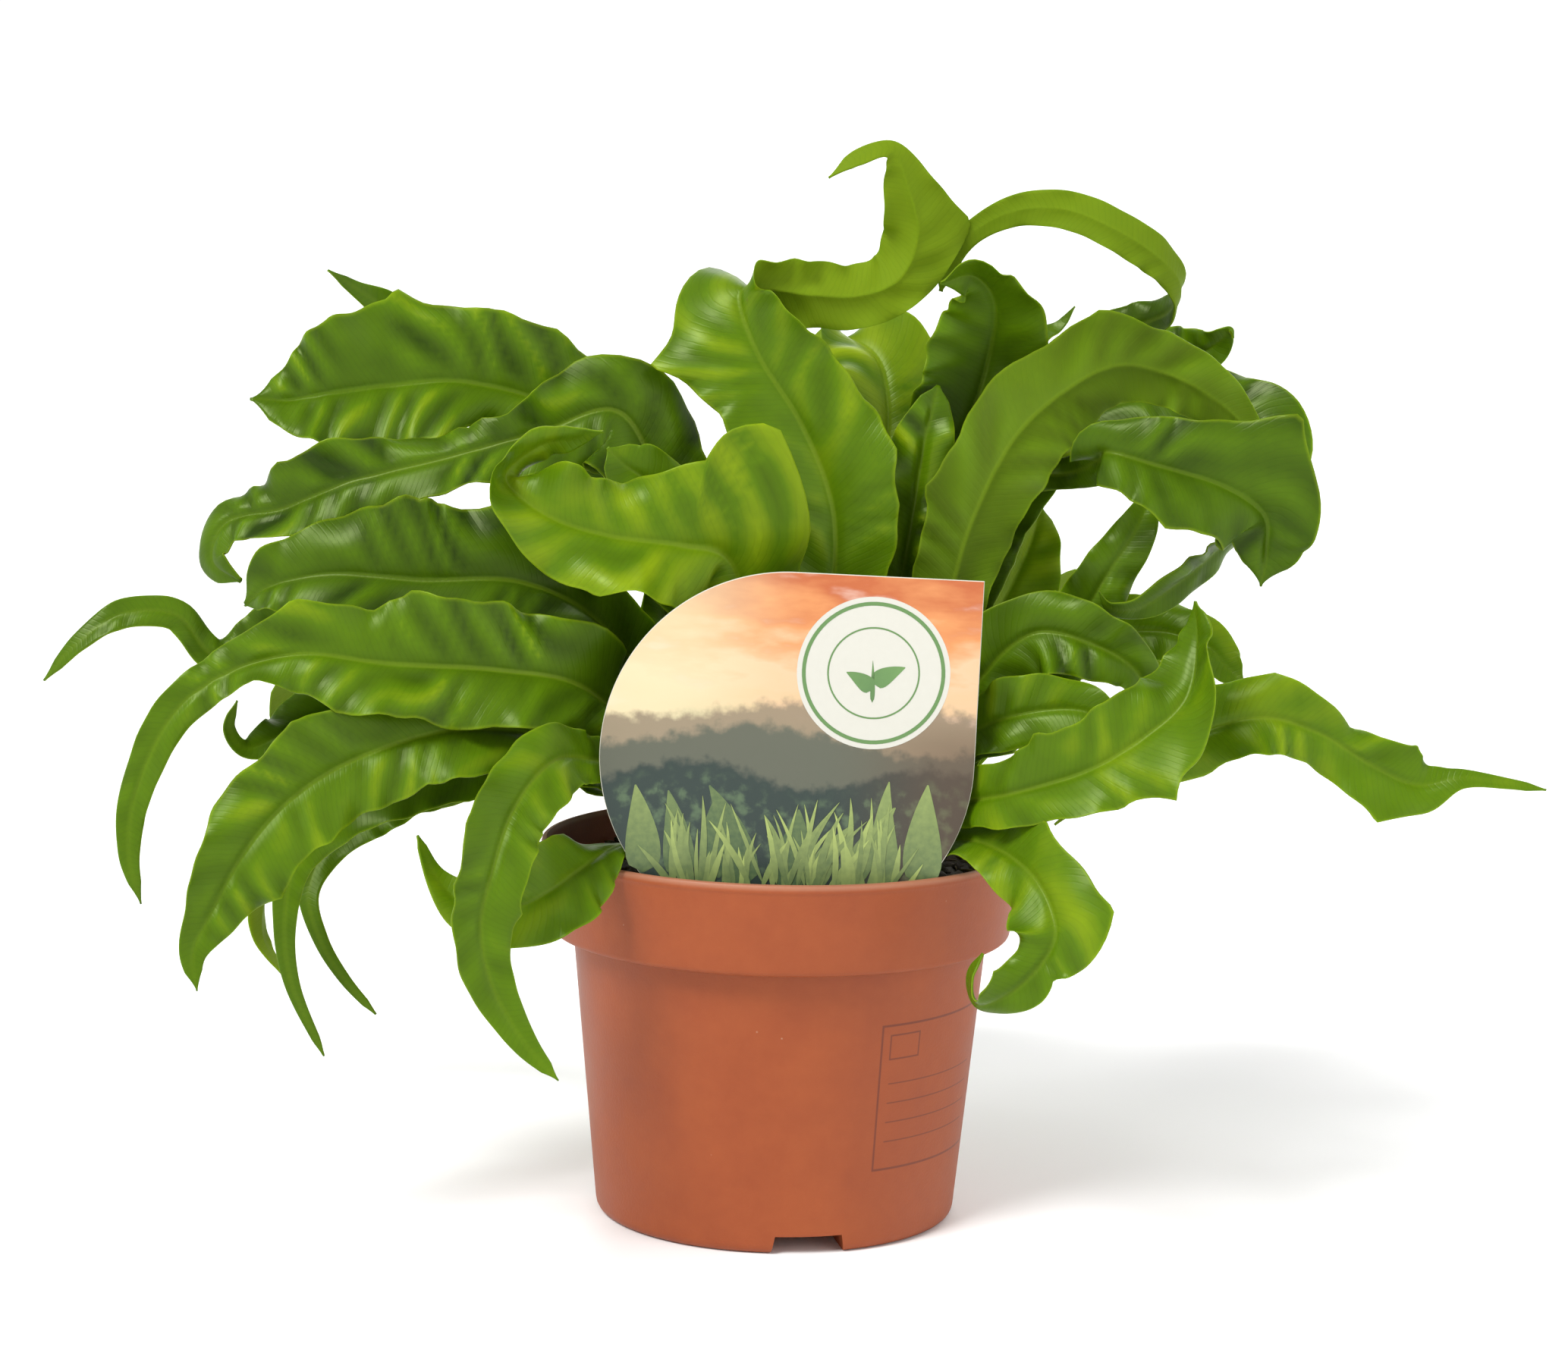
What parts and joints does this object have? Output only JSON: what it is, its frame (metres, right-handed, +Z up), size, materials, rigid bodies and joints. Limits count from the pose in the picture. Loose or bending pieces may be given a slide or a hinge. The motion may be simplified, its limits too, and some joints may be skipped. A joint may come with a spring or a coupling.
{
  "type": "potted bird's nest fern",
  "caption": "Bird's nest fern with twisted, wavy strap fronds growing from a crown in potting soil, in a tapered plastic nursery pot with a drop-shaped label card.",
  "frame": {"origin": "centre of the pot's underside, on the surface it stands on", "axes": "+Z up; -Y towards the label card and the side the picture shows; +X to the right seen from there"},
  "size_m": [0.3648, 0.2497, 0.2672],
  "materials": {
    "terracotta_plastic": "satin",
    "peat": "matte",
    "rhizome": "matte",
    "leaf": "satin",
    "printed_card": "satin"
  },
  "bodies": {
    "root": {"pot": "terracotta_plastic", "potting_soil": "peat", "crown": "rhizome", "plant_label": "printed_card", "frond_left_top": "leaf", "frond_left_wave": "leaf", "frond_left_dark": "leaf", "frond_left_behind": "leaf", "frond_left_long": "leaf", "frond_left_drape": "leaf", "frond_left_low": "leaf", "frond_left_thread": "leaf", "frond_left_hook": "leaf", "frond_left_back": "leaf", "frond_front_left": "leaf", "frond_front_low": "leaf", "frond_centre_light": "leaf", "frond_centre_flap": "leaf", "frond_centre_tall": "leaf", "frond_centre_gold": "leaf", "frond_centre_gloss": "leaf", "frond_centre_cup": "leaf", "frond_arch": "leaf", "frond_right_broad": "leaf", "frond_right_glossy": "leaf", "frond_right_hook": "leaf", "frond_right_curl": "leaf", "frond_right_wavy": "leaf", "frond_right_mid": "leaf", "frond_right_boat": "leaf", "frond_right_far": "leaf", "frond_right_small": "leaf", "frond_right_pale": "leaf", "frond_front_right": "leaf", "frond_back_tip": "leaf", "frond_right_light": "leaf", "frond_back_left": "leaf", "frond_back_left_high": "leaf", "frond_back": "leaf", "frond_back_right": "leaf", "frond_back_high": "leaf", "frond_back_low": "leaf", "frond_back_low_right": "leaf"}
  },
  "joints": []
}
